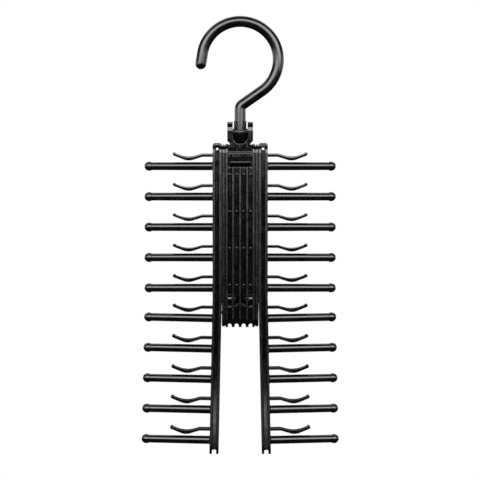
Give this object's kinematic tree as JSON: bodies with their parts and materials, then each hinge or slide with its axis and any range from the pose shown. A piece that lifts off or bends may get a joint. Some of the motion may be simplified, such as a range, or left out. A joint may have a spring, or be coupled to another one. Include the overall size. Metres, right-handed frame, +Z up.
{
  "type": "tie hanger",
  "caption": "Folding tie hanger: swivel hook over a ribbed post, with two pegged arms that swing open into an X and a spring finger over each peg.",
  "frame": {"origin": "the top of the hook's inside bend, where it rests on a closet rod", "axes": "+Z up, the front faces -Y, +X to the right seen from the front; the closet rod runs along Y"},
  "size_m": [0.1508, 0.0196, 0.335],
  "materials": {
    "frame_plastic": "gloss black",
    "arm_plastic": "gloss black"
  },
  "bodies": {
    "hook": {"hook": "frame_plastic"},
    "knuckle": {"knuckle": "frame_plastic"},
    "frame": {"clevis": "frame_plastic", "post": "frame_plastic"},
    "left_arm": {"left_rail": "arm_plastic", "left_peg_01": "arm_plastic", "left_peg_02": "arm_plastic", "left_peg_03": "arm_plastic", "left_peg_04": "arm_plastic", "left_peg_05": "arm_plastic", "left_peg_06": "arm_plastic", "left_peg_07": "arm_plastic", "left_peg_08": "arm_plastic", "left_peg_09": "arm_plastic", "left_peg_10": "arm_plastic"},
    "right_arm": {"right_rail": "arm_plastic", "right_peg_01": "arm_plastic", "right_peg_02": "arm_plastic", "right_peg_03": "arm_plastic", "right_peg_04": "arm_plastic", "right_peg_05": "arm_plastic", "right_peg_06": "arm_plastic", "right_peg_07": "arm_plastic", "right_peg_08": "arm_plastic", "right_peg_09": "arm_plastic", "right_peg_10": "arm_plastic"},
    "left_finger_01": {"left_clip_01": "arm_plastic"},
    "left_finger_02": {"left_clip_02": "arm_plastic"},
    "left_finger_03": {"left_clip_03": "arm_plastic"},
    "left_finger_04": {"left_clip_04": "arm_plastic"},
    "left_finger_05": {"left_clip_05": "arm_plastic"},
    "left_finger_06": {"left_clip_06": "arm_plastic"},
    "left_finger_07": {"left_clip_07": "arm_plastic"},
    "left_finger_08": {"left_clip_08": "arm_plastic"},
    "left_finger_09": {"left_clip_09": "arm_plastic"},
    "left_finger_10": {"left_clip_10": "arm_plastic"},
    "right_finger_01": {"right_clip_01": "arm_plastic"},
    "right_finger_02": {"right_clip_02": "arm_plastic"},
    "right_finger_03": {"right_clip_03": "arm_plastic"},
    "right_finger_04": {"right_clip_04": "arm_plastic"},
    "right_finger_05": {"right_clip_05": "arm_plastic"},
    "right_finger_06": {"right_clip_06": "arm_plastic"},
    "right_finger_07": {"right_clip_07": "arm_plastic"},
    "right_finger_08": {"right_clip_08": "arm_plastic"},
    "right_finger_09": {"right_clip_09": "arm_plastic"},
    "right_finger_10": {"right_clip_10": "arm_plastic"}
  },
  "joints": [
    {"name": "hook_swivel", "type": "hinge", "parent": "hook", "child": "knuckle", "pos_m": [0, 0, -0.07965], "axis": [0, 0, 1], "continuous": true},
    {"name": "hook_tilt", "type": "hinge", "parent": "knuckle", "child": "frame", "pos_m": [0, 0, -0.07965], "axis": [1, 0, 0], "range_deg": [-90, 90]},
    {"name": "left_arm_swing", "type": "hinge", "parent": "frame", "child": "left_arm", "pos_m": [-0.0134, 0, -0.20805], "axis": [1, 0, 0], "range_deg": [0, 50]},
    {"name": "right_arm_swing", "type": "hinge", "parent": "frame", "child": "right_arm", "pos_m": [0.0134, 0, -0.20805], "axis": [-1, 0, 0], "range_deg": [0, 50]},
    {"name": "left_flex_01", "type": "hinge", "parent": "left_arm", "child": "left_finger_01", "pos_m": [-0.0214, 0, -0.0981], "axis": [0, 1, 0], "range_deg": [-3, 10], "stiffness_Nm_per_rad": 0.05},
    {"name": "left_flex_02", "type": "hinge", "parent": "left_arm", "child": "left_finger_02", "pos_m": [-0.0214, 0, -0.12136], "axis": [0, 1, 0], "range_deg": [-3, 10], "stiffness_Nm_per_rad": 0.05},
    {"name": "left_flex_03", "type": "hinge", "parent": "left_arm", "child": "left_finger_03", "pos_m": [-0.0214, 0, -0.14463], "axis": [0, 1, 0], "range_deg": [-3, 10], "stiffness_Nm_per_rad": 0.05},
    {"name": "left_flex_04", "type": "hinge", "parent": "left_arm", "child": "left_finger_04", "pos_m": [-0.0214, 0, -0.1679], "axis": [0, 1, 0], "range_deg": [-3, 10], "stiffness_Nm_per_rad": 0.05},
    {"name": "left_flex_05", "type": "hinge", "parent": "left_arm", "child": "left_finger_05", "pos_m": [-0.0214, 0, -0.19116], "axis": [0, 1, 0], "range_deg": [-3, 10], "stiffness_Nm_per_rad": 0.05},
    {"name": "left_flex_06", "type": "hinge", "parent": "left_arm", "child": "left_finger_06", "pos_m": [-0.02153, 0, -0.21442], "axis": [0, 1, 0], "range_deg": [-3, 10], "stiffness_Nm_per_rad": 0.05},
    {"name": "left_flex_07", "type": "hinge", "parent": "left_arm", "child": "left_finger_07", "pos_m": [-0.02202, 0, -0.23768], "axis": [0, 1, 0], "range_deg": [-3, 10], "stiffness_Nm_per_rad": 0.05},
    {"name": "left_flex_08", "type": "hinge", "parent": "left_arm", "child": "left_finger_08", "pos_m": [-0.02251, 0, -0.26094], "axis": [0, 1, 0], "range_deg": [-3, 10], "stiffness_Nm_per_rad": 0.05},
    {"name": "left_flex_09", "type": "hinge", "parent": "left_arm", "child": "left_finger_09", "pos_m": [-0.023, 0, -0.2842], "axis": [0, 1, 0], "range_deg": [-3, 10], "stiffness_Nm_per_rad": 0.05},
    {"name": "left_flex_10", "type": "hinge", "parent": "left_arm", "child": "left_finger_10", "pos_m": [-0.02348, 0, -0.30747], "axis": [0, 1, 0], "range_deg": [-3, 10], "stiffness_Nm_per_rad": 0.05},
    {"name": "right_flex_01", "type": "hinge", "parent": "right_arm", "child": "right_finger_01", "pos_m": [0.0214, 0, -0.0981], "axis": [0, -1, 0], "range_deg": [-3, 10], "stiffness_Nm_per_rad": 0.05},
    {"name": "right_flex_02", "type": "hinge", "parent": "right_arm", "child": "right_finger_02", "pos_m": [0.0214, 0, -0.12136], "axis": [0, -1, 0], "range_deg": [-3, 10], "stiffness_Nm_per_rad": 0.05},
    {"name": "right_flex_03", "type": "hinge", "parent": "right_arm", "child": "right_finger_03", "pos_m": [0.0214, 0, -0.14463], "axis": [0, -1, 0], "range_deg": [-3, 10], "stiffness_Nm_per_rad": 0.05},
    {"name": "right_flex_04", "type": "hinge", "parent": "right_arm", "child": "right_finger_04", "pos_m": [0.0214, 0, -0.1679], "axis": [0, -1, 0], "range_deg": [-3, 10], "stiffness_Nm_per_rad": 0.05},
    {"name": "right_flex_05", "type": "hinge", "parent": "right_arm", "child": "right_finger_05", "pos_m": [0.0214, 0, -0.19116], "axis": [0, -1, 0], "range_deg": [-3, 10], "stiffness_Nm_per_rad": 0.05},
    {"name": "right_flex_06", "type": "hinge", "parent": "right_arm", "child": "right_finger_06", "pos_m": [0.02153, 0, -0.21442], "axis": [0, -1, 0], "range_deg": [-3, 10], "stiffness_Nm_per_rad": 0.05},
    {"name": "right_flex_07", "type": "hinge", "parent": "right_arm", "child": "right_finger_07", "pos_m": [0.02202, 0, -0.23768], "axis": [0, -1, 0], "range_deg": [-3, 10], "stiffness_Nm_per_rad": 0.05},
    {"name": "right_flex_08", "type": "hinge", "parent": "right_arm", "child": "right_finger_08", "pos_m": [0.02251, 0, -0.26094], "axis": [0, -1, 0], "range_deg": [-3, 10], "stiffness_Nm_per_rad": 0.05},
    {"name": "right_flex_09", "type": "hinge", "parent": "right_arm", "child": "right_finger_09", "pos_m": [0.023, 0, -0.2842], "axis": [0, -1, 0], "range_deg": [-3, 10], "stiffness_Nm_per_rad": 0.05},
    {"name": "right_flex_10", "type": "hinge", "parent": "right_arm", "child": "right_finger_10", "pos_m": [0.02348, 0, -0.30747], "axis": [0, -1, 0], "range_deg": [-3, 10], "stiffness_Nm_per_rad": 0.05}
  ]
}
